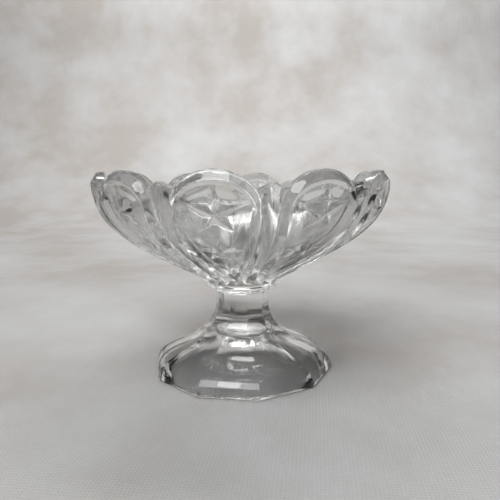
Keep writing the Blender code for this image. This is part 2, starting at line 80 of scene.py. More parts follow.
# %% Camera
SIDES = 10
PITCH = 2 * math.pi / SIDES
HALF = PITCH / 2
CAMERA_BEARING = math.radians(7.52)          # turned this far round the axis from the front lobe
CAMERA_PLACE = (1.87 * MM, -109.71 * MM, 43.25 * MM)
CAMERA_FALL = math.radians(8.40)
CAMERA_ROLL = math.radians(0.31)
SENSOR_WIDTH = 36.0
FOCAL_LENGTH = 34.86
CLIP_NEAR = 5 * MM
CLIP_FAR = 10.0


def make_camera():
    data = bpy.data.cameras.new("camera")
    data.sensor_width = SENSOR_WIDTH
    data.lens = FOCAL_LENGTH
    data.clip_start = CLIP_NEAR
    data.clip_end = CLIP_FAR
    camera = bpy.data.objects.new("camera", data)
    bpy.context.scene.collection.objects.link(camera)
    bearing = Matrix.Rotation(CAMERA_BEARING, 4, "Z")
    aim = Matrix.Rotation(math.pi / 2 - CAMERA_FALL, 4, "X")
    roll = Matrix.Rotation(-CAMERA_ROLL, 4, "Z")
    camera.matrix_world = bearing @ Matrix.Translation(CAMERA_PLACE) @ aim @ roll
    bpy.context.scene.camera = camera
    return camera


camera = make_camera()
print("camera at", [round(value / MM, 1) for value in camera.matrix_world.translation], "mm")

# %% [markdown]
# ## Writing shader maths in Python
#
# A node tree is a formula drawn as boxes. The small class below lets the formula be written as one:
# it wraps a socket, and each operator adds the Math node that does it. Graph.add makes every other
# kind of node.

# %% Shader formulas


def plug(tree, value, socket):
    """Link a socket, or set a plain value."""
    if isinstance(value, Socket):
        tree.links.new(value.socket, socket)
    else:
        socket.default_value = value


class Socket:
    """An output of a node that can be added to, multiplied and so on."""

    def __init__(self, graph, socket):
        self.graph = graph
        self.socket = socket

    def math(self, operation, other=None, flipped=False):
        node = self.graph.tree.nodes.new("ShaderNodeMath")
        node.operation = operation
        first, second = (other, self) if flipped else (self, other)
        plug(self.graph.tree, first, node.inputs[0])
        if second is not None:
            plug(self.graph.tree, second, node.inputs[1])
        return Socket(self.graph, node.outputs[0])

    def __add__(self, other):
        return self.math("ADD", other)

    def __radd__(self, other):
        return self.math("ADD", other, flipped=True)

    def __sub__(self, other):
        return self.math("SUBTRACT", other)

    def __rsub__(self, other):
        return self.math("SUBTRACT", other, flipped=True)

    def __mul__(self, other):
        return self.math("MULTIPLY", other)

    def __rmul__(self, other):
        return self.math("MULTIPLY", other, flipped=True)

    def __truediv__(self, other):
        return self.math("DIVIDE", other)

    def __pow__(self, other):
        return self.math("POWER", other)


class Graph:
    """A material's or world's node tree, emptied and ready to be filled."""

    def __init__(self, owner):
        owner.use_nodes = True
        self.tree = owner.node_tree
        self.tree.nodes.clear()

    def add(self, kind, settings=None, inputs=None, output=0):
        node = self.tree.nodes.new(kind)
        for name, value in (settings or {}).items():
            setattr(node, name, value)
        for name, value in (inputs or {}).items():
            plug(self.tree, value, node.inputs[name])
        return Socket(self, node.outputs[output]) if node.outputs else None

    def ramp(self, factor, stops):
        """A Color Ramp whose stops are (place, grey or colour)."""
        node = self.tree.nodes.new("ShaderNodeValToRGB")
        bands = node.color_ramp.elements
        while len(bands) < len(stops):
            bands.new(0.5)
        for band, (place, colour) in zip(bands, stops):
            band.position = place
            band.color = (*colour, 1.0)
        plug(self.tree, factor, node.inputs[0])
        return Socket(self, node.outputs[0])


print("shader helpers ready")

# %% [markdown]
# ## The studio
#
# Clear glass has no look of its own: it shows what is round it, bent. A pale cloth sweep lies under
# the dish and rises behind it, so most of what the glass bends is pale grey. The cloth is woven, and
# its dye is cloudy.

# %% Cloth sweep
FLOOR_GAP = 0.05 * MM                        # the dish never quite touches the cloth
SWEEP_HALF_WIDTH = 0.34
SWEEP_FRONT = -0.42
SWEEP_BACK = 0.50
SWEEP_CURVE = 0.22
SWEEP_TOP = 0.34
SWEEP_STEPS = 24


def sweep_profile():
    """Side view of the sweep: flat, a quarter turn, then straight up."""
    line = [(SWEEP_FRONT, -FLOOR_GAP)]
    centre = SWEEP_BACK - SWEEP_CURVE
    for i in range(SWEEP_STEPS + 1):
        angle = math.pi / 2 * i / SWEEP_STEPS
        line.append((centre + SWEEP_CURVE * math.sin(angle),
                     SWEEP_CURVE - SWEEP_CURVE * math.cos(angle) - FLOOR_GAP))
    return line + [(SWEEP_BACK, SWEEP_TOP)]


def make_sweep():
    line = sweep_profile()
    verts = [(side * SWEEP_HALF_WIDTH, y, z) for side in (-1, 1) for y, z in line]
    count = len(line)
    faces = [(i, i + count, i + 1 + count, i + 1) for i in range(count - 1)]
    mesh = bpy.data.meshes.new("cloth_sweep")
    mesh.from_pydata(verts, [], faces)
    mesh.transform(Matrix.Rotation(CAMERA_BEARING, 4, "Z"))
    mesh.polygons.foreach_set("use_smooth", [True] * len(faces))
    sweep = bpy.data.objects.new("cloth_sweep", mesh)
    bpy.context.scene.collection.objects.link(sweep)
    return sweep


sweep = make_sweep()
print("sweep", len(sweep.data.polygons), "faces")

# %% Cloth finish
THREAD_PITCH = 0.62 * MM
CLOUD_SIZE = 75 * MM
SMEAR_SIZE = 16 * MM
PALE_CLOTH = (0.555, 0.558, 0.558)
WARM_CLOTH = (0.51, 0.503, 0.498)
BROWN_CLOTH = (0.46, 0.435, 0.415)
CLOUD_SHARE = 0.75
SMEAR_SHARE = 0.25
PAINTED_LIGHT_SIDE_SHARE = 0.22                            # painted light: the cloth colour grows paler towards +X, as if lit more from that side
DYE_STOPS = ((0.36, BROWN_CLOTH), (0.50, WARM_CLOTH), (0.66, PALE_CLOTH))
BAND_LENGTH = 0.31415                        # a band wave of scale 1 repeats after this
THREAD_WOBBLE = 1.5
THREAD_RISE = 0.15 * MM
THREAD_STRENGTH = 0.35
CLOTH_ROUGHNESS = 0.9
CLOTH_SHEEN = 0.1


def cloth_material():
    mat = bpy.data.materials.new("cloth")
    graph = Graph(mat)
    place = graph.add("ShaderNodeTexCoord", output=3)
    clouds = graph.add("ShaderNodeTexNoise", {}, {"Vector": place, "Scale": 1 / CLOUD_SIZE,
                                                  "Detail": 4.0, "Roughness": 0.5})
    smears = graph.add("ShaderNodeTexNoise", {}, {"Vector": place, "Scale": 1 / SMEAR_SIZE,
                                                  "Detail": 5.0, "Roughness": 0.6})
    painted_side_light = graph.add("ShaderNodeSeparateXYZ", {}, {"Vector": place})
    # painted light: a pale wash towards +X is mixed into the cloth's cloudy dye, so that side looks more
    # lit
    dye_and_painted_light = clouds * CLOUD_SHARE + smears * SMEAR_SHARE + painted_side_light * PAINTED_LIGHT_SIDE_SHARE
    colour = graph.ramp(dye_and_painted_light, DYE_STOPS)
    warp, weft = (graph.add("ShaderNodeTexWave", {"bands_direction": way},
                            {"Vector": place, "Scale": BAND_LENGTH / THREAD_PITCH,
                             "Distortion": THREAD_WOBBLE, "Detail": 2.0}) for way in "XY")
    thread = warp.math("MULTIPLY", weft)
    bump = graph.add("ShaderNodeBump", {}, {"Height": thread, "Strength": THREAD_STRENGTH,
                                              "Distance": THREAD_RISE})
    shader = graph.add("ShaderNodeBsdfPrincipled", {},
                       {"Base Color": colour, "Roughness": CLOTH_ROUGHNESS,
                        "Specular IOR Level": CLOTH_SHEEN, "Normal": bump})
    graph.add("ShaderNodeOutputMaterial", {}, {"Surface": shader})
    return mat


sweep.data.materials.append(cloth_material())
print("cloth thread pitch", THREAD_PITCH / MM, "mm")

# %% [markdown]
# ## Light
#
# The room round the sweep is nearly black. One broad soft window stands high in front and lights the
# cloth and the dish, and a strip over the back of the sweep lights the cloth behind. Glass edges go
# dark where they bend the sight line out into the dark room, and sparkle where they catch a light.

# %% Lights
ROOM_GREY = 0.03
WINDOW_PLACE = (-0.13, -0.46, 0.68)
WINDOW_SIZE = (0.56, 0.60)
WINDOW_POWER = 7.0
WINDOW_AIM = (0.0, 0.05, 0.0)
BACKDROP_LIGHT_PLACE = (0.0, 0.24, 0.58)
BACKDROP_LIGHT_SIZE = (0.6, 0.12)
BACKDROP_LIGHT_POWER = 3.3
BACKDROP_LIGHT_AIM = (0.0, 0.50, 0.20)
CONTRAST = 0.75                              # display gamma; below 1 it deepens every dark in the picture
BOUNCES = 32                                 # light crosses many glass skins before it gets out
MIRROR_BOUNCES = 16


def soft_light(name, place, aim, size, power):
    data = bpy.data.lights.new(name, "AREA")
    data.shape = "RECTANGLE"
    data.size, data.size_y = size
    data.energy = power
    light = bpy.data.objects.new(name, data)
    direction = Vector(aim) - Vector(place)
    turn = direction.to_track_quat("-Z", "Y").to_matrix().to_4x4()
    light.matrix_world = Matrix.Translation(place) @ turn
    bpy.context.scene.collection.objects.link(light)
    return light


def light_room():
    world = bpy.data.worlds.new("room")
    bpy.context.scene.world = world
    graph = Graph(world)
    background = graph.add("ShaderNodeBackground", {}, {"Color": (ROOM_GREY, ROOM_GREY, ROOM_GREY, 1.0),
                                                        "Strength": 1.0})
    graph.add("ShaderNodeOutputWorld", {}, {"Surface": background})
    soft_light("window", WINDOW_PLACE, WINDOW_AIM, WINDOW_SIZE, WINDOW_POWER)
    soft_light("backdrop_light", BACKDROP_LIGHT_PLACE, BACKDROP_LIGHT_AIM, BACKDROP_LIGHT_SIZE,
               BACKDROP_LIGHT_POWER)
    scene = bpy.context.scene
    scene.view_settings.view_transform = "Standard"
    scene.view_settings.gamma = CONTRAST
    scene.cycles.max_bounces = BOUNCES
    scene.cycles.transmission_bounces = BOUNCES
    scene.cycles.glossy_bounces = MIRROR_BOUNCES
    scene.cycles.transparent_max_bounces = BOUNCES


light_room()

# %% [markdown]
# ## Clear glass
#
# The glass is clear, with a skin that is faintly wavy, as glass pressed in a mould has. Three choices
# of look are made here: the bowl is tinted darker than the foot, which is painted shade that darkens
# the bowl, its inside is slightly dull, which softens the far wall behind the front panels, and the
# foot has faint streaks that run out from the axis. Where two pieces are fused the glass carries on,
# so the faces that meet get a second, wholly clear finish.

# %% Glass finish
GLASS_IOR = 1.5
# painted shade: the bowl's tint is far darker than the foot's, which darkens the whole bowl
BOWL_TINT_AND_PAINTED_SHADE = (0.84, 0.845, 0.842)
FOOT_TINT = (0.99, 0.993, 0.99)
SKIN_WAVE = 2.6 * MM                         # size of the waves left by the mould
SKIN_DEPTH = 0.02 * MM
SKIN_STRENGTH = 0.5
STREAKS = 14.0                               # how closely the streaks stand round the axis
STREAK_DEPTH = 0.10 * MM


def distance_from_axis(graph, place):
    flat = graph.add("ShaderNodeVectorMath", {"operation": "MULTIPLY"}, {0: place, 1: (1.0, 1.0, 0.0)})
    return flat, graph.add("ShaderNodeVectorMath", {"operation": "LENGTH"}, {0: flat}, output=1)


def glass_material(name, tint_and_shade, wear=None, streaks=0.0):
    """Clear glass with a wavy skin; streaks adds marks that run out from the axis, wear a rubbed part."""
    mat = bpy.data.materials.new(name)
    graph = Graph(mat)
    place = graph.add("ShaderNodeTexCoord", output=3)
    waves = graph.add("ShaderNodeTexNoise", {}, {"Vector": place, "Scale": 1 / SKIN_WAVE, "Detail": 2.0})
    skin = graph.add("ShaderNodeBump", {}, {"Height": waves, "Strength": SKIN_STRENGTH,
                                              "Distance": SKIN_DEPTH})
    if streaks:
        flat, _ = distance_from_axis(graph, place)
        direction = graph.add("ShaderNodeVectorMath", {"operation": "NORMALIZE"}, {0: flat})
        marks = graph.add("ShaderNodeTexNoise", {}, {"Vector": direction, "Scale": STREAKS,
                                                     "Detail": 3.0})
        skin = graph.add("ShaderNodeBump", {}, {"Height": marks, "Strength": SKIN_STRENGTH,
                                                "Distance": streaks, "Normal": skin})
    roughness = wear(graph, place) if wear else 0.0
    shader = graph.add("ShaderNodeBsdfPrincipled", {},
                       {"Base Color": (*tint_and_shade, 1.0), "Roughness": roughness, "IOR": GLASS_IOR,
                        "Transmission Weight": 1.0, "Normal": skin})
    graph.add("ShaderNodeOutputMaterial", {}, {"Surface": shader})
    return mat


def joint_material():
    mat = bpy.data.materials.new("fused_joint")
    graph = Graph(mat)
    shader = graph.add("ShaderNodeBsdfPrincipled", {},
                       {"Base Color": (1.0, 1.0, 1.0, 1.0), "Roughness": 0.0, "Alpha": 0.0})
    graph.add("ShaderNodeOutputMaterial", {}, {"Surface": shader})
    return mat


WAFER_GLASS = glass_material("clear_wafer", FOOT_TINT)
FOOT_GLASS = glass_material("clear_foot", FOOT_TINT, streaks=STREAK_DEPTH)
JOINT = joint_material()
print("finishes", WAFER_GLASS.name, FOOT_GLASS.name, JOINT.name)

# %% [markdown]
# ## Turning one tenth round the axis
#
# Everything about the dish repeats ten times round its axis. So only one tenth of each piece is
# drawn, and a Geometry Nodes tree sets ten copies on points at the axis, each turned a tenth of a
# turn further, welds the seams between them and gives the faces their finish.

# %% Geometry Nodes: round the axis
WELD = 0.002 * MM


def round_the_axis():
    tree = bpy.data.node_groups.new("round_the_axis", "GeometryNodeTree")
    for name, kind, way in (("Tenth", "NodeSocketGeometry", "INPUT"), ("Count", "NodeSocketInt", "INPUT"),
                            ("Weld", "NodeSocketFloat", "INPUT"), ("Glass", "NodeSocketMaterial", "INPUT"),
                            ("Joint", "NodeSocketMaterial", "INPUT"),
                            ("Piece", "NodeSocketGeometry", "OUTPUT")):
        tree.interface.new_socket(name, in_out=way, socket_type=kind)

    def add(kind, settings=None, inputs=None):
        node = tree.nodes.new(kind)
        for name, value in (settings or {}).items():
            setattr(node, name, value)
        for name, value in (inputs or {}).items():
            if isinstance(value, bpy.types.NodeSocket):
                tree.links.new(value, node.inputs[name])
            else:
                node.inputs[name].default_value = value
        return node

    start = add("NodeGroupInput").outputs
    turn = add("ShaderNodeMath", {"operation": "DIVIDE"}, {0: 2 * math.pi, 1: start["Count"]}).outputs[0]
    index = add("GeometryNodeInputIndex").outputs[0]
    angle = add("ShaderNodeMath", {"operation": "MULTIPLY"}, {0: index, 1: turn}).outputs[0]
    spin = add("ShaderNodeCombineXYZ", {}, {"Z": angle}).outputs[0]
    points = add("GeometryNodePoints", {}, {"Count": start["Count"]}).outputs[0]
    copies = add("GeometryNodeInstanceOnPoints", {}, {"Points": points, "Instance": start["Tenth"],
                                                      "Rotation": spin}).outputs[0]
    whole = add("GeometryNodeRealizeInstances", {}, {"Geometry": copies}).outputs[0]
    welded = add("GeometryNodeMergeByDistance", {}, {"Geometry": whole,
                                                     "Distance": start["Weld"]}).outputs[0]
    glazed = add("GeometryNodeSetMaterial", {}, {"Geometry": welded,
                                                 "Material": start["Glass"]}).outputs[0]
    fused = add("GeometryNodeInputNamedAttribute", {"data_type": "BOOLEAN"}, {"Name": "fused"}).outputs[0]
    done = add("GeometryNodeSetMaterial", {}, {"Geometry": glazed, "Selection": fused,
                                               "Material": start["Joint"]}).outputs[0]
    add("NodeGroupOutput", {}, {"Piece": done})
    return tree


AROUND = round_the_axis()
print("tree", AROUND.name, len(AROUND.nodes), "nodes")

# %% Tenths


class Tenth:
    """One tenth of a piece: loose patches whose shared edges are welded later."""

    def __init__(self):
        self.verts = []
        self.faces = []
        self.fused = []

    def patch(self, verts, faces, fused=False):
        start = len(self.verts)
        self.verts += [tuple(float(value) for value in vert) for vert in verts]
        self.faces += [tuple(start + i for i in face) for face in faces]
        self.fused += [fused] * len(faces)

    def grid(self, rows):
        """A patch of rows of points; it faces out when the rows climb and run towards +X."""
        wide = len(rows[0])
        faces = []
        for j in range(len(rows) - 1):
            for i in range(wide - 1):
                a = j * wide + i
                faces.append((a, a + 1, a + 1 + wide, a + wide))
        self.patch([vert for row in rows for vert in row], faces)

    def fan(self, row, centre, faces_up, fused=False):
        """Triangles from a row to the axis."""
        last = len(row)
        ends = [(i + 1, i) if faces_up else (i, i + 1) for i in range(last - 1)]
        self.patch(list(row) + [centre], [(b, a, last) for a, b in ends], fused)


def make_piece(tenth, name, glass):
    """Turn a tenth into the whole piece with the tree above."""
    mesh = bpy.data.meshes.new(name + "_tenth")
    mesh.from_pydata(tenth.verts, [], tenth.faces)
    mesh.attributes.new("fused", "BOOLEAN", "FACE").data.foreach_set("value", tenth.fused)
    source = bpy.data.objects.new(name + "_tenth", mesh)
    bpy.context.scene.collection.objects.link(source)
    modifier = source.modifiers.new("round", "NODES")
    modifier.node_group = AROUND
    values = {"Count": SIDES, "Weld": WELD, "Glass": glass, "Joint": JOINT}
    for item in AROUND.interface.items_tree:
        if item.name in values and item.in_out == "INPUT":
            modifier[item.identifier] = values[item.name]
    whole = bpy.data.meshes.new_from_object(source.evaluated_get(bpy.context.evaluated_depsgraph_get()))
    whole.name = name
    bpy.data.objects.remove(source, do_unlink=True)
    whole.polygons.foreach_set("use_smooth", [True] * len(whole.polygons))
    whole.set_sharp_from_angle(angle=SHARP_ANGLE)
    piece = bpy.data.objects.new(name, whole)
    bpy.context.scene.collection.objects.link(piece)
    triangles = sum(len(polygon.vertices) - 2 for polygon in whole.polygons)
    print(name, triangles, "triangles")
    return piece


SHARP_ANGLE = math.radians(42.0)

# %% [markdown]
# ## Curves seen from the side
#
# The bowl and the foot are easiest to think of as a side view: a curve of radius against height. Each
# is a few cubic curves with named ends and handles, read by the distance along them.

# %% Side views


def bezier(start, lead, trail, end, steps):
    """Points of a cubic curve given by its two ends and two handles."""
    t = np.linspace(0.0, 1.0, steps + 1)[:, None]
    u = 1 - t
    start, lead, trail, end = (np.array(place) for place in (start, lead, trail, end))
    return u ** 3 * start + 3 * u * u * t * lead + 3 * u * t * t * trail + t ** 3 * end


class SideView:
    """A curve of (radius, height) that can be read by the distance along it."""

    def __init__(self, points):
        self.points = np.array(points)
        steps = np.hypot(*np.diff(self.points, axis=0).T)
        self.lengths = np.concatenate([[0.0], np.cumsum(steps)])

    def at(self, distance):
        return (np.interp(distance, self.lengths, self.points[:, 0]),
                np.interp(distance, self.lengths, self.points[:, 1]))

    def normal(self, distance, reach=0.6 * MM):
        """Unit direction out of the body, as (radial, vertical)."""
        r0, z0 = self.at(np.maximum(distance - reach, 0.0))
        r1, z1 = self.at(distance + reach)
        size = np.hypot(r1 - r0, z1 - z0)
        return (z1 - z0) / size, -(r1 - r0) / size

    def distance_at_height(self, height):
        return np.interp(height, self.points[:, 1], self.lengths)


def polar(radius, angle, height):
    """Points at an angle measured from -Y towards +X."""
    radius, angle, height = np.broadcast_arrays(radius, angle, height)
    return np.column_stack([radius * np.sin(angle), -radius * np.cos(angle), height])


CURVE_STEPS = 240
RIM_RADIUS = 32.3 * MM
BOWL_WALL = 3.0 * MM                         # glass between the smooth body and the well
FLOOR_THICKNESS = 4.2 * MM
BASE_RING_RADIUS = 8.9 * MM
BASE_RING_HEIGHT = 1.0 * MM
BASE_LEDGE = 0.4 * MM
BODY_SLOPE = math.radians(28.4)
BODY_REACH = 0.755
SHOULDER_DROP = 10.4 * MM
BEVEL_WIDTH = 1.8 * MM
FLOOR_TURN = 4.5 * MM                        # climb over which the floor turns into the wall
TURN_SOFTNESS = 0.6
BODY_BASE = BOWL_BASE + BASE_RING_HEIGHT
BEVEL_LEVEL = TOTAL_HEIGHT - BEVEL_WIDTH
WELL_FLOOR = BOWL_BASE + FLOOR_THICKNESS
INNER_RADIUS = RIM_RADIUS - BOWL_WALL
BODY_START = BASE_RING_RADIUS - BASE_LEDGE


def body_side():
    """Outside of the bowl over the crests, from the base ring to above the lobes."""
    run = BODY_REACH * (RIM_RADIUS - BODY_START)
    start = (BODY_START, BODY_BASE)
    lead = (BODY_START + run * math.cos(BODY_SLOPE), BODY_BASE + run * math.sin(BODY_SLOPE))
    trail = (RIM_RADIUS, BEVEL_LEVEL - SHOULDER_DROP)
    curve = bezier(start, lead, trail, (RIM_RADIUS, BEVEL_LEVEL), CURVE_STEPS)
    return SideView(np.vstack([curve, (RIM_RADIUS, TOTAL_HEIGHT + BEVEL_WIDTH)]))


def well_side(body):
    """Inside of the bowl: a flat floor, a turn, then one wall thickness in from the body."""
    distance = body.lengths[:-1]
    radius, height = body.at(distance)
    out, up = body.normal(distance)
    wall = np.column_stack([radius - out * BOWL_WALL, height - up * BOWL_WALL])
    wall = wall[wall[:, 1] > WELL_FLOOR + FLOOR_TURN]
    (r0, z0), (r1, z1) = wall[0], wall[1]
    corner = r0 - (z0 - WELL_FLOOR) * (r1 - r0) / (z1 - z0)
    lead = (corner * TURN_SOFTNESS, WELL_FLOOR)
    trail = (r0 + (corner - r0) * TURN_SOFTNESS, z0 + (WELL_FLOOR - z0) * TURN_SOFTNESS)
    floor = bezier((0.0, WELL_FLOOR), lead, trail, (r0, z0), CURVE_STEPS // 4)
    return SideView(np.vstack([floor, wall[1:], (INNER_RADIUS, TOTAL_HEIGHT + BEVEL_WIDTH)]))


BODY = body_side()
WELL = well_side(BODY)
print(f"outside {BODY.lengths[-1] / MM:.1f} mm up the wall, inside {WELL.lengths[-1] / MM:.1f} mm")

# %% [markdown]
# ## The relief of one lobe
#
# The pattern is cut into a smooth body. A place on a lobe is (x, v): x sideways from its middle, v up
# the wall. The outline is half an ellipse at the top and two lines below. Inside it come a border, a
# step and a dished panel with two stars and a stud, and between two lobes stands a rib. relief(x, v)
# gives the height of all that.

# %% Outline of a lobe
LOBE_HALF_WIDTH = 8.3 * MM
LOBE_RISE = 6.6 * MM
NOTCH_DROP = 3.45 * MM
CUSP_RISE = 1.25 * MM
CUSP_POINT = 1.2
TOP = float(BODY.distance_at_height(TOTAL_HEIGHT))
WIDEST = TOP - LOBE_RISE
NOTCH = TOP - NOTCH_DROP
NOTCH_X = LOBE_HALF_WIDTH * math.sqrt(1 - ((NOTCH - WIDEST) / LOBE_RISE) ** 2)
RIM_EDGE = HALF * RIM_RADIUS
RIB_HALF = HALF * float(BODY.at(WIDEST)[0]) - LOBE_HALF_WIDTH


def sector_half(v):
    return HALF * BODY.at(v)[0]


def half_width(v, inset, rise_inset):
    """Half width at v of the lobe outline moved inwards by the inset."""
    below = np.maximum(sector_half(v) - RIB_HALF - inset, 0.0)
    share = np.clip((v - WIDEST) / (LOBE_RISE - rise_inset), 0.0, 1.0)
    above = (LOBE_HALF_WIDTH - inset) * np.sqrt(1 - share ** 2)
    return np.where(v <= WIDEST, below, above)


def inside_outline(x, v, inset, rise_inset):
    """How far (x, v) lies inside the outline moved inwards by the inset."""
    a = LOBE_HALF_WIDTH - inset
    b = LOBE_RISE - rise_inset
    y = v - WIDEST
    rho = np.maximum(np.hypot(x / a, y / b), 1e-6)
    above = (1 - rho) * rho / np.maximum(np.hypot(x / a ** 2, y / b ** 2), 1e-6)
    return np.where(v <= WIDEST, sector_half(v) - RIB_HALF - inset - np.abs(x), above)


def rim_height(x):
    """Distance up the wall of the scalloped edge at x."""
    x = np.abs(x)
    lobe = WIDEST + LOBE_RISE * np.sqrt(1 - np.minimum(x / LOBE_HALF_WIDTH, 1.0) ** 2)
    share = np.clip((RIM_EDGE - x) / (RIM_EDGE - NOTCH_X), 0.0, 1.0)
    return np.where(x <= NOTCH_X, lobe, NOTCH + CUSP_RISE * (1 - share ** CUSP_POINT))


print(f"lobe {2 * LOBE_HALF_WIDTH / MM:.1f} mm wide, rib {2 * RIB_HALF / MM:.1f} mm wide")

# %% Stars and stud
STAR_POINTS = 5
STAR_WAIST = 0.4
LARGE_STAR_BELOW_RIM = 7.6 * MM
LARGE_STAR_RADIUS = 5.3 * MM
LARGE_STAR_RELIEF = 0.9 * MM
STAR_SPACING = 10.4 * MM
SMALL_STAR_RADIUS = 4.6 * MM
SMALL_STAR_RELIEF = 0.8 * MM
STUD_SPACING = 3.4 * MM
STUD_HALF_WIDTH = 1.3 * MM
STUD_HALF_HEIGHT = 0.95 * MM
STUD_RELIEF = 0.5 * MM
LARGE_STAR = TOP - LARGE_STAR_BELOW_RIM
SMALL_STAR = LARGE_STAR - STAR_SPACING
STUD = SMALL_STAR - STUD_SPACING


def star(centre, radius):
    """Corners of a star, first point up."""
    corners = []
    for i in range(2 * STAR_POINTS):
        reach = radius if i % 2 == 0 else radius * STAR_WAIST
        angle = math.pi / STAR_POINTS * i
        corners.append((reach * math.sin(angle), centre + reach * math.cos(angle)))
    return corners


def stud(centre, half_width, half_height):
    return [(0.0, centre + half_height), (half_width, centre),
            (0.0, centre - half_height), (-half_width, centre)]


ORNAMENTS = [(LARGE_STAR, star(LARGE_STAR, LARGE_STAR_RADIUS), LARGE_STAR_RELIEF),
             (SMALL_STAR, star(SMALL_STAR, SMALL_STAR_RADIUS), SMALL_STAR_RELIEF),
             (STUD, stud(STUD, STUD_HALF_WIDTH, STUD_HALF_HEIGHT), STUD_RELIEF)]


def ornament_height(x, v):
    """Pyramids: full height at each centre, nothing on the outline."""
    height = np.zeros(np.shape(x))
    for centre, corners, relief_height in ORNAMENTS:
        for (ax, av), (bx, bv) in zip(corners, corners[1:] + corners[:1]):
            av, bv = av - centre, bv - centre
            area = ax * bv - bx * av
            wa = (x * bv - bx * (v - centre)) / area
            wb = (ax * (v - centre) - x * av) / area
            inside = (wa >= 0) & (wb >= 0) & (wa + wb <= 1)
            height = np.where(inside, relief_height * (1 - wa - wb), height)
    return height


print("stars at", round(LARGE_STAR / MM, 1), "and", round(SMALL_STAR / MM, 1), "mm up the wall")

# %% Relief
BORDER_WIDTH = 1.35 * MM
BEVEL_DEPTH = 1.2 * MM
GROOVE_DEPTH = 1.35 * MM
RIB_CROWN = 1.0 * MM
RIB_CROWN_FALL = 0.2 * MM
STEP_WIDTH = 0.5 * MM
STEP_DEPTH = 0.4 * MM
PANEL_DISH = 0.45 * MM
PANEL_DISH_REACH = 3.0 * MM
NARROWEST_FLANK = 0.1 * MM
POLISH = 0.13 * MM                           # how far flame polish rounds a crease
POLISH_SAMPLES = 8


def relief(x, v):
    """Height of the moulded outside over the smooth body, mostly negative."""
    half = sector_half(v)
    x = np.where(np.abs(x) > half, 2 * half - np.abs(x), np.abs(x))
    edge = GROOVE_DEPTH + (BEVEL_DEPTH - GROOVE_DEPTH) * np.clip((v - WIDEST) / LOBE_RISE, 0.0, 1.0)
    to_outline = inside_outline(x, v, 0.0, 0.0)
    to_crest = inside_outline(x, v, BORDER_WIDTH, BEVEL_WIDTH)
    from_rib = np.maximum(half - x, 0.0)
    flank = np.maximum(half - half_width(v, 0.0, 0.0), RIB_CROWN + NARROWEST_FLANK)
    down = np.clip((from_rib - RIB_CROWN) / (flank - RIB_CROWN), 0.0, 1.0)
    rib = -RIB_CROWN_FALL * np.minimum(from_rib / RIB_CROWN, 1.0) - (edge - RIB_CROWN_FALL) * down
    border = edge * (to_outline / np.maximum(to_outline - to_crest, 1e-9) - 1)
    dish = np.clip((to_crest - STEP_WIDTH) / PANEL_DISH_REACH, 0.0, 1.0)
    dish = dish * dish * (3 - 2 * dish)
    step = STEP_DEPTH * np.clip(to_crest / STEP_WIDTH, 0.0, 1.0)
    panel = ornament_height(x, v) - step - PANEL_DISH * dish
    return np.where(to_outline <= 0, rib, np.where(to_crest <= 0, border, panel))


def polished_relief(x, v):
    """The relief averaged over a tiny disc, which rounds every crease."""
    total = relief(x, v)
    for i in range(POLISH_SAMPLES):
        angle = 2 * math.pi * i / POLISH_SAMPLES
        total = total + relief(x + POLISH * math.cos(angle), v + POLISH * math.sin(angle))
    return total / (POLISH_SAMPLES + 1)


def outside(x, v):
    """Places on the outside of the lobe that faces -Y."""
    x, v = np.array(x, dtype=float), np.array(v, dtype=float)
    radius, height = BODY.at(v)
    out, up = BODY.normal(v)
    angle = np.clip(x / radius, -HALF, HALF)
    lift = polished_relief(x, v)
    return polar(radius + out * lift, angle, height + up * lift)


groove = relief(np.array([LOBE_HALF_WIDTH]), np.array([WIDEST]))[0]
print(f"groove beside the widest place of a lobe {groove / MM:.2f} mm")

# %% [markdown]
# ## Drawing the lobe flat
#
# Triangles must follow every crease or the stars turn to mush. So the lobe is drawn flat first: each
# crease is a line, a row of points runs close beside it on both sides to hold the polished edge, and
# a honeycomb of points fills the rest. A Delaunay triangulation that respects the lines joins them
# all up.

# %% Flat drawing
LINE_STEP = 0.4 * MM
HOLD = 0.14 * MM
FILL_STEP = 0.46 * MM
CLEAR = 0.5                                  # filler keeps this share of its spacing from the lines
HOLD_CLEAR = 0.9                             # and the points beside a crease this share of theirs


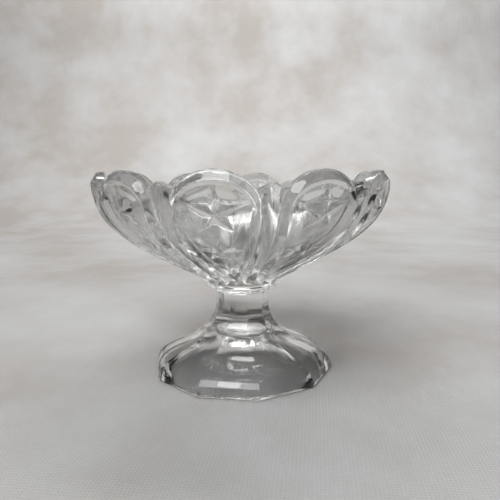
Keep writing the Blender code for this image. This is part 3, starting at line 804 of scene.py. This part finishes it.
class Drawing:
    """Crease lines, the points that hold them, filler and a border, in millimetres."""

    def __init__(self, boundary):
        self.places = []
        self.index = {}
        self.lines = []
        self.boundary = [self.add(x, v) for x, v in boundary]

    def add(self, x, v):
        key = (round(x / MM, 3), round(v / MM, 3))
        if key not in self.index:
            self.index[key] = len(self.places)
            self.places.append((x / MM, v / MM))
        return self.index[key]

    def crease(self, corners, step=LINE_STEP):
        """A line through the corners, cut into short steps."""
        for (x0, v0), (x1, v1) in zip(corners, corners[1:]):
            count = max(1, round(math.hypot(x1 - x0, v1 - v0) / step))
            run = [self.add(x0 + (x1 - x0) * i / count, v0 + (v1 - v0) * i / count)
                   for i in range(count + 1)]
            self.lines += [(a, b) for a, b in zip(run, run[1:]) if a != b]

    def tree(self):
        tree = KDTree(len(self.places))
        for i, (x, v) in enumerate(self.places):
            tree.insert((x, v, 0.0), i)
        tree.balance()
        return tree

    def fill(self, candidates, clearance):
        """Add the candidates that keep clear of what is drawn."""
        tree = self.tree()
        for x, v in candidates:
            if tree.find((x / MM, v / MM, 0.0))[2] * MM >= clearance:
                self.add(x, v)

    def hold_creases(self, allowed, distance=HOLD):
        """Points close beside every crease, on both sides."""
        beside = []
        for a, b in self.lines:
            (x0, v0), (x1, v1) = self.places[a], self.places[b]
            run = math.hypot(x1 - x0, v1 - v0)
            for side in (-1, 1):
                x = (x0 + x1) / 2 * MM - side * (v1 - v0) / run * distance
                v = (v0 + v1) / 2 * MM + side * (x1 - x0) / run * distance
                if allowed(x, v):
                    beside.append((x, v))
        self.fill(beside, distance * HOLD_CLEAR)

    def honeycomb(self, low, high, step, allowed):
        rows = int((high[1] - low[1]) / (step * math.sqrt(0.75))) + 1
        columns = int((high[0] - low[0]) / step) + 2
        places = []
        for j in range(rows):
            v = low[1] + j * step * math.sqrt(0.75)
            for i in range(columns):
                x = low[0] + (i + 0.5 * (j % 2)) * step
                if allowed(x, v):
                    places.append((x, v))
        self.fill(places, step * CLEAR)

    def triangles(self):
        flat = [Vector(place) for place in self.places]
        verts, _, faces, _, _, _ = delaunay_2d_cdt(flat, self.lines, [self.boundary], 1, 1e-5)
        return np.array([tuple(vert) for vert in verts]) * MM, faces


def steps_between(low, high, step):
    count = max(1, round((high - low) / step))
    return [low + (high - low) * i / count for i in range(count + 1)]


RIM_SOFT = 0.25 * MM                         # radius of the flame-polished rim edges
RIM_SINK = 0.2 * MM                          # the moulded wall ends this far below the rim
NOTCH_SHARE = 0.9                            # stations stand closer from here to the notch
HEIGHT_SAMPLES = 4001


def wall_top(x):
    return rim_height(np.array(x)) - RIM_SINK


def rim_stations():
    """Places along the rim of one lobe, from one rib to the next."""
    crown = RIM_EDGE - RIB_CROWN
    right = steps_between(0.0, NOTCH_X * NOTCH_SHARE, LINE_STEP)[:-1]
    right += steps_between(NOTCH_X * NOTCH_SHARE, NOTCH_X, LINE_STEP / 2)[:-1]
    right += steps_between(NOTCH_X, crown, LINE_STEP / 2)[:-1]
    right += steps_between(crown, RIM_EDGE, LINE_STEP / 3)
    return [-x for x in reversed(right[1:])] + right


def meeting_height(inset):
    """Height up the wall where both sides of an inset outline meet."""
    heights = np.linspace(0.0, WIDEST, HEIGHT_SAMPLES)
    open_at = sector_half(heights) - RIB_HALF - inset > 0
    return float(heights[np.argmax(open_at)])


def arch(inset, rise_inset):
    """Top of an outline moved inwards, from its widest place over the top."""
    a = LOBE_HALF_WIDTH - inset
    b = LOBE_RISE - rise_inset
    count = round(math.pi * (a + b) / 2 / LINE_STEP)
    return [(-a * math.cos(math.pi * i / count), WIDEST + b * math.sin(math.pi * i / count))
            for i in range(count + 1)]


print(len(rim_stations()), "stations along the rim of a lobe")

# %% Lobe drawing


def base_stations():
    """Places along the foot of one lobe's wall."""
    half = float(sector_half(0.0))
    groove = float(half_width(np.array(0.0), 0.0, 0.0))
    right = steps_between(0.0, groove, LINE_STEP)[:-1]
    right += steps_between(groove, half - RIB_CROWN, LINE_STEP)[:-1]
    right += steps_between(half - RIB_CROWN, half, LINE_STEP / 2)
    return [-x for x in reversed(right[1:])] + right


def draw_lobe():
    rim = [(x, float(wall_top(x))) for x in rim_stations()]
    base = [(x, 0.0) for x in base_stations()]
    side = steps_between(0.0, rim[-1][1], LINE_STEP)[1:-1]
    right = [(float(sector_half(v)), v) for v in side]
    left = [(-x, v) for x, v in right]
    drawing = Drawing(base + right + rim[::-1] + left[::-1])
    rows = steps_between(0.0, WIDEST, LINE_STEP)
    crown = RIM_EDGE - RIB_CROWN
    for sign in (-1, 1):
        upper = steps_between(WIDEST, NOTCH, LINE_STEP)[1:-1]
        groove = [(sign * float(half_width(v, 0.0, 0.0)), v) for v in rows + upper]
        drawing.crease(groove + [(sign * NOTCH_X, float(wall_top(NOTCH_X)))])
        top = float(wall_top(crown))
        crest = [(sign * float(sector_half(v) - RIB_CROWN), v)
                 for v in steps_between(0.0, top, LINE_STEP)]
        drawing.crease(crest[:-1] + [(sign * crown, top)])
    for inset, rise in ((BORDER_WIDTH, BEVEL_WIDTH),
                        (BORDER_WIDTH + STEP_WIDTH, BEVEL_WIDTH + STEP_WIDTH)):
        foot = meeting_height(inset)
        right = [(float(half_width(v, inset, rise)), v)
                 for v in steps_between(foot, WIDEST, LINE_STEP)[1:]]
        left = [(-x, v) for x, v in right]
        drawing.crease([(0.0, foot)] + left + arch(inset, rise)[1:-1] + right[::-1] + [(0.0, foot)])
    for centre, corners, _ in ORNAMENTS:
        drawing.crease(corners + corners[:1])
        for corner in corners:
            drawing.crease([(0.0, centre), corner])

    def allowed(x, v, margin=0.25 * FILL_STEP):
        if not margin < v:
            return False
        return abs(x) < float(sector_half(v)) - margin and v < float(wall_top(x)) - margin

    drawing.hold_creases(allowed)
    drawing.honeycomb((-RIM_EDGE, 0.0), (RIM_EDGE, TOP), FILL_STEP, allowed)
    return drawing.triangles()


lobe_plan, lobe_faces = draw_lobe()
print("one lobe", len(lobe_plan), "points", len(lobe_faces), "triangles")

# %% [markdown]
# ## The bowl
#
# The lobe's flat drawing is wrapped on the side view and pushed in and out by the relief. The rim is
# rounded by flame on both edges, the well inside is plain and smooth, and underneath a ten-sided ring
# carries the wafer.

# %% Bowl
RIM_ARC_STEPS = 4
RIM_TOP_SHARES = (0.33, 0.67)                # rows between the two rounded edges of the rim
RING_ROWS = 3                                # rows over each rounded edge of the ring
WELL_STEP = 0.9 * MM
WAFER_STEP = 0.2 * MM
CORNER_SOFTENING = 0.45 * MM
RING_ROUND = 0.15 * MM


def rim_rows(outer):
    """Rows over the rim from the moulded wall to the well, rounded at both edges."""
    radius = np.hypot(outer[:, 0], outer[:, 1])
    angle = np.arctan2(outer[:, 0], -outer[:, 1])
    height = outer[:, 2]
    inner = WELL.at(WELL.distance_at_height(height))[0]
    turns = [math.pi / 2 * i / RIM_ARC_STEPS for i in range(RIM_ARC_STEPS + 1)]
    rows = [polar(radius - RIM_SOFT * (1 - math.cos(t)), angle, height + RIM_SOFT * math.sin(t))
            for t in turns]
    rows += [polar(radius * (1 - share) + inner * share + RIM_SOFT * (2 * share - 1), angle,
                   height + RIM_SOFT) for share in RIM_TOP_SHARES]
    rows += [polar(inner + RIM_SOFT * (1 - math.cos(t)), angle, height + RIM_SOFT * math.sin(t))
             for t in reversed(turns)]
    rows[0] = outer
    return rows, angle, height


def add_well(tenth, angle, height):
    """The smooth inside, from the rim down to the middle of the floor."""
    distance = WELL.distance_at_height(height)
    radius = WELL.at(distance)[0]
    top = [(a * r, d) for a, r, d in zip(angle, radius, distance)]
    side = steps_between(0.0, top[-1][1], WELL_STEP)[1:-1]
    right = [(HALF * float(WELL.at(d)[0]), d) for d in side]
    drawing = Drawing([(0.0, 0.0)] + right + top[::-1] + [(-x, d) for x, d in reversed(right)])

    def allowed(x, d, margin=0.3 * WELL_STEP):
        return abs(x) < HALF * float(WELL.at(d)[0]) - margin and d < distance.min() - margin

    drawing.honeycomb((-RIM_EDGE, 0.0), (RIM_EDGE, distance.max()), WELL_STEP, allowed)
    plan, faces = drawing.triangles()
    radius, level = WELL.at(plan[:, 1])
    turn = np.clip(plan[:, 0] / np.maximum(radius, 1e-9), -HALF, HALF)
    tenth.patch(polar(radius, turn, level), [tuple(reversed(face)) for face in faces])


def facet_radius(angle, corner):
    """Radius at an angle of a ten-sided ring whose corners are a little rounded."""
    soft = CORNER_SOFTENING / 2
    flat = corner * math.cos(HALF)
    fillet = soft / math.tan(HALF)
    centre = (flat - fillet) / math.cos(HALF)
    off = HALF - np.abs(angle)
    rounded = centre * np.cos(off) + np.sqrt(np.maximum(fillet ** 2 - (centre * np.sin(off)) ** 2, 0.0))
    straight = flat / np.cos(angle)
    tangent = math.atan((corner * math.sin(HALF) - soft) / flat)
    return np.where(np.abs(angle) > tangent, rounded, straight)


def add_base(tenth, row):
    """The ring under the wall, and the face that is fused to the wafer."""
    angle = np.arctan2(row[:, 0], -row[:, 1])
    angle[0], angle[-1] = -HALF, HALF
    joint = polar(facet_radius(angle, BASE_RING_RADIUS - WAFER_STEP), angle, BOWL_BASE)
    edge = facet_radius(angle, BASE_RING_RADIUS)
    rows = [joint]
    turns = [math.pi / 2 * i / (RING_ROWS - 1) for i in range(RING_ROWS)]
    for t in turns:
        rows.append(polar(edge - RING_ROUND * (1 - math.sin(t)), angle,
                          BOWL_BASE + RING_ROUND * (1 - math.cos(t))))
    for t in turns:
        rows.append(polar(edge - RING_ROUND * (1 - math.cos(t)), angle,
                          BODY_BASE - RING_ROUND * (1 - math.sin(t))))
    rows.append(row)
    tenth.grid(rows)
    tenth.fan(joint, (0.0, 0.0, BOWL_BASE), faces_up=False, fused=True)


WEAR = 0.12                                  # roughness of the dulled inside of the bowl
WEAR_REACH = 0.8 * MM                        # glass this near the inside counts as the inside
WEAR_STOPS = 14
WEAR_LOWEST = 0.005                          # share of the climb at which the first stop stands


def rubbed_inside(graph, place):
    """Roughness of the bowl: slightly dull inside, a choice of look, and clear outside."""
    radius = distance_from_axis(graph, place)[1]
    height = graph.add("ShaderNodeSeparateXYZ", {}, {0: place}, output=2)
    climb = TOTAL_HEIGHT - WELL_FLOOR
    shares = np.linspace(WEAR_LOWEST, 1.0, WEAR_STOPS)
    wall = np.interp(WELL_FLOOR + shares * climb, WELL.points[:, 1], WELL.points[:, 0]) / RIM_RADIUS
    well = graph.ramp((height - WELL_FLOOR) / climb, [(t, (r, r, r)) for t, r in zip(shares, wall)])
    inside = radius.math("LESS_THAN", well * RIM_RADIUS + WEAR_REACH)
    above = height.math("GREATER_THAN", WELL_FLOOR - WEAR_REACH)
    return inside * above * WEAR


def build_bowl():
    tenth = Tenth()
    tenth.patch(outside(lobe_plan[:, 0], lobe_plan[:, 1]), lobe_faces)
    stations = rim_stations()
    rows, angle, height = rim_rows(outside(stations, wall_top(stations)))
    tenth.grid(rows)
    add_well(tenth, angle, height)
    base = base_stations()
    add_base(tenth, outside(base, np.zeros(len(base))))
    # the bowl's glass carries painted shade: its tint is darker than the foot's
    return make_piece(tenth, "pressed_bowl", glass_material("clear_bowl_painted_shade", BOWL_TINT_AND_PAINTED_SHADE, wear=rubbed_inside))


bowl = build_bowl()

# %% [markdown]
# ## Wafer and foot
#
# Both are ten flat sides with flame-softened corners, so a ring is ten flats and ten small arcs. The
# rings change size up the side view. Under the foot a round hollow was pressed up by the plunger.

# %% Faceted rings
FLAT_COLUMNS = 12
ARC_COLUMNS = 4
STEM_RADIUS = 6.1 * MM
CORNER_SHARE = 0.12                          # a corner is never softened over more of the ring than this


def facet_row(corner, height):
    """One tenth of a faceted ring: half an arc, a flat, half an arc."""
    soft = min(CORNER_SOFTENING, corner * CORNER_SHARE) / 2
    flat = corner * math.cos(HALF)
    edge = corner * math.sin(HALF) - soft
    fillet = soft / math.tan(HALF)
    centre = (flat - fillet) / math.cos(HALF)
    left = []
    for i in range(ARC_COLUMNS):
        turn = HALF * (1 - i / ARC_COLUMNS)
        left.append((-centre * math.sin(HALF) - fillet * math.sin(turn),
                     -centre * math.cos(HALF) - fillet * math.cos(turn)))
    middle = [(-edge * math.cos(math.pi * i / FLAT_COLUMNS), -flat) for i in range(FLAT_COLUMNS + 1)]
    points = left + middle + [(-x, y) for x, y in reversed(left)]
    return np.array([(x, y, height) for x, y in points])


def round_row(radius, height, like):
    """One tenth of a round ring whose points lie at the angles of another row."""
    angle = np.arctan2(like[:, 0], -like[:, 1])
    angle[0], angle[-1] = -HALF, HALF
    return polar(radius, angle, height)


print("facet row has", len(facet_row(STEM_RADIUS, 0.0)), "points")

# %% Wafer
WAFER_COLLAR = 1.3 * MM
WAFER_LAND = 0.3 * MM                        # upright edge under the bowl's ring
WAFER_NECK_STAND = 0.35
WAFER_FLARE_RUN = 0.45
WAFER_FLARE_FALL = 0.25
WAFER_ROWS = 16


def build_wafer():
    top = BASE_RING_RADIUS - WAFER_STEP
    neck = WAFER_BASE + WAFER_COLLAR
    rise = BOWL_BASE - neck
    lead = (STEM_RADIUS, neck + WAFER_NECK_STAND * rise)
    trail = (top - WAFER_FLARE_RUN * (top - STEM_RADIUS), BOWL_BASE - WAFER_FLARE_FALL * rise)
    side = [(STEM_RADIUS, WAFER_BASE)]
    flare = bezier((STEM_RADIUS, neck), lead, trail, (top, BOWL_BASE - WAFER_LAND), WAFER_ROWS)
    side += [tuple(place) for place in flare]
    side.append((top, BOWL_BASE))
    rows = [facet_row(radius, height) for radius, height in side]
    tenth = Tenth()
    tenth.grid(rows)
    tenth.fan(rows[0], (0.0, 0.0, WAFER_BASE), faces_up=False, fused=True)
    tenth.fan(rows[-1], (0.0, 0.0, BOWL_BASE), faces_up=True, fused=True)
    return make_piece(tenth, "joining_wafer", WAFER_GLASS)


wafer = build_wafer()

# %% Foot
FOOT_RADIUS = 20.7 * MM
COVE_RADIUS = 13.6 * MM
COVE_HEIGHT = 6.15 * MM
COVE_SLOPE = math.radians(22.0)
FOOT_EDGE_ROUND = 0.4 * MM
EDGE_STEPS = 6
FOOT_WALL = 1.9 * MM
HOLLOW_HEIGHT = 8.8 * MM
HOLLOW_DOME = 1.6 * MM
HOLLOW_CROWN_RADIUS = 5.0 * MM
SHOULDER_RUN = 0.7
SKIRT_STAND = 0.5
SKIRT_LEAN = 0.15 * MM
COVE_RUN = 0.65
COVE_STAND = 0.6
WAIST_DROP = 1.2 * MM
SHOULDER_ROWS = 22
COVE_ROWS = 24
SKIRT_ROWS = 24
CONE_ROWS = 8
DOME_ROWS = 12


def foot_side():
    """Corner line of the foot from the cloth up to the wafer."""
    turn = (COVE_RADIUS, COVE_HEIGHT)
    fall = (math.cos(COVE_SLOPE), math.sin(COVE_SLOPE))
    run = SHOULDER_RUN * (FOOT_RADIUS - COVE_RADIUS)
    lead = (turn[0] + run * fall[0], turn[1] - run * fall[1])
    trail = (FOOT_RADIUS - SKIRT_LEAN, COVE_HEIGHT * SKIRT_STAND)
    shoulder = bezier((FOOT_RADIUS, FOOT_EDGE_ROUND), trail, lead, turn, SHOULDER_ROWS)
    edge = []
    for i in range(EDGE_STEPS):
        t = math.pi / 2 * i / EDGE_STEPS
        edge.append((FOOT_RADIUS - FOOT_EDGE_ROUND * (1 - math.sin(t)),
                     FOOT_EDGE_ROUND * (1 - math.cos(t))))
    waist = (STEM_RADIUS, WAFER_BASE - WAIST_DROP)
    run = COVE_RUN * (COVE_RADIUS - STEM_RADIUS)
    lead = (turn[0] - run * fall[0], turn[1] + run * fall[1])
    trail = (STEM_RADIUS, COVE_HEIGHT + COVE_STAND * (waist[1] - COVE_HEIGHT))
    cove = bezier(turn, lead, trail, waist, COVE_ROWS)
    rise = [tuple(place) for place in np.vstack([shoulder, cove[1:]])]
    return edge + rise + [(STEM_RADIUS, WAFER_BASE)]


def hollow_side():
    """Round hollow under the foot, from the crown down to its mouth."""
    fall = (math.cos(COVE_SLOPE), math.sin(COVE_SLOPE))
    mouth = FOOT_RADIUS * math.cos(HALF) - FOOT_WALL
    turn = (COVE_RADIUS * math.cos(HALF) - FOOT_WALL * fall[1], COVE_HEIGHT - FOOT_WALL * fall[0])
    run = SHOULDER_RUN * (mouth - turn[0])
    trail = (turn[0] + run * fall[0], turn[1] - run * fall[1])
    skirt = bezier((mouth, 0.0), (mouth, turn[1] * SKIRT_STAND), trail, turn, SKIRT_ROWS)
    crown = (HOLLOW_CROWN_RADIUS, HOLLOW_HEIGHT - HOLLOW_DOME)
    cone = bezier(turn, turn, crown, crown, CONE_ROWS)[1:]
    dome = [(crown[0] * math.cos(t), crown[1] + HOLLOW_DOME * math.sin(t))
            for t in np.linspace(0.0, math.pi / 2, DOME_ROWS)]
    return [tuple(place) for place in np.vstack([skirt, cone, dome[1:]])][::-1]


def build_foot():
    rows = [facet_row(radius, height) for radius, height in foot_side()]
    hollow = hollow_side()
    inside = [round_row(radius, height, rows[0]) for radius, height in hollow[1:]]
    tenth = Tenth()
    tenth.grid(inside + rows)
    tenth.fan(inside[0], (0.0, 0.0, HOLLOW_HEIGHT), faces_up=False)
    tenth.fan(rows[-1], (0.0, 0.0, WAFER_BASE), faces_up=True, fused=True)
    return make_piece(tenth, "hollow_foot", FOOT_GLASS)


foot = build_foot()

# %% [markdown]
# ## Putting the pieces in the frame
#
# Each piece stands for one CAD node and rides on the dish's only body. The box of the finished dish
# has to stay inside the box of the CAD model.

# %% Ride and replace
for piece, node, slot in ((bowl, "bowl", "bowl_glass"), (wafer, "wafer", "wafer_glass"),
                          (foot, "pedestal", "pedestal_glass")):
    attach(piece, "root")
    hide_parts(node)
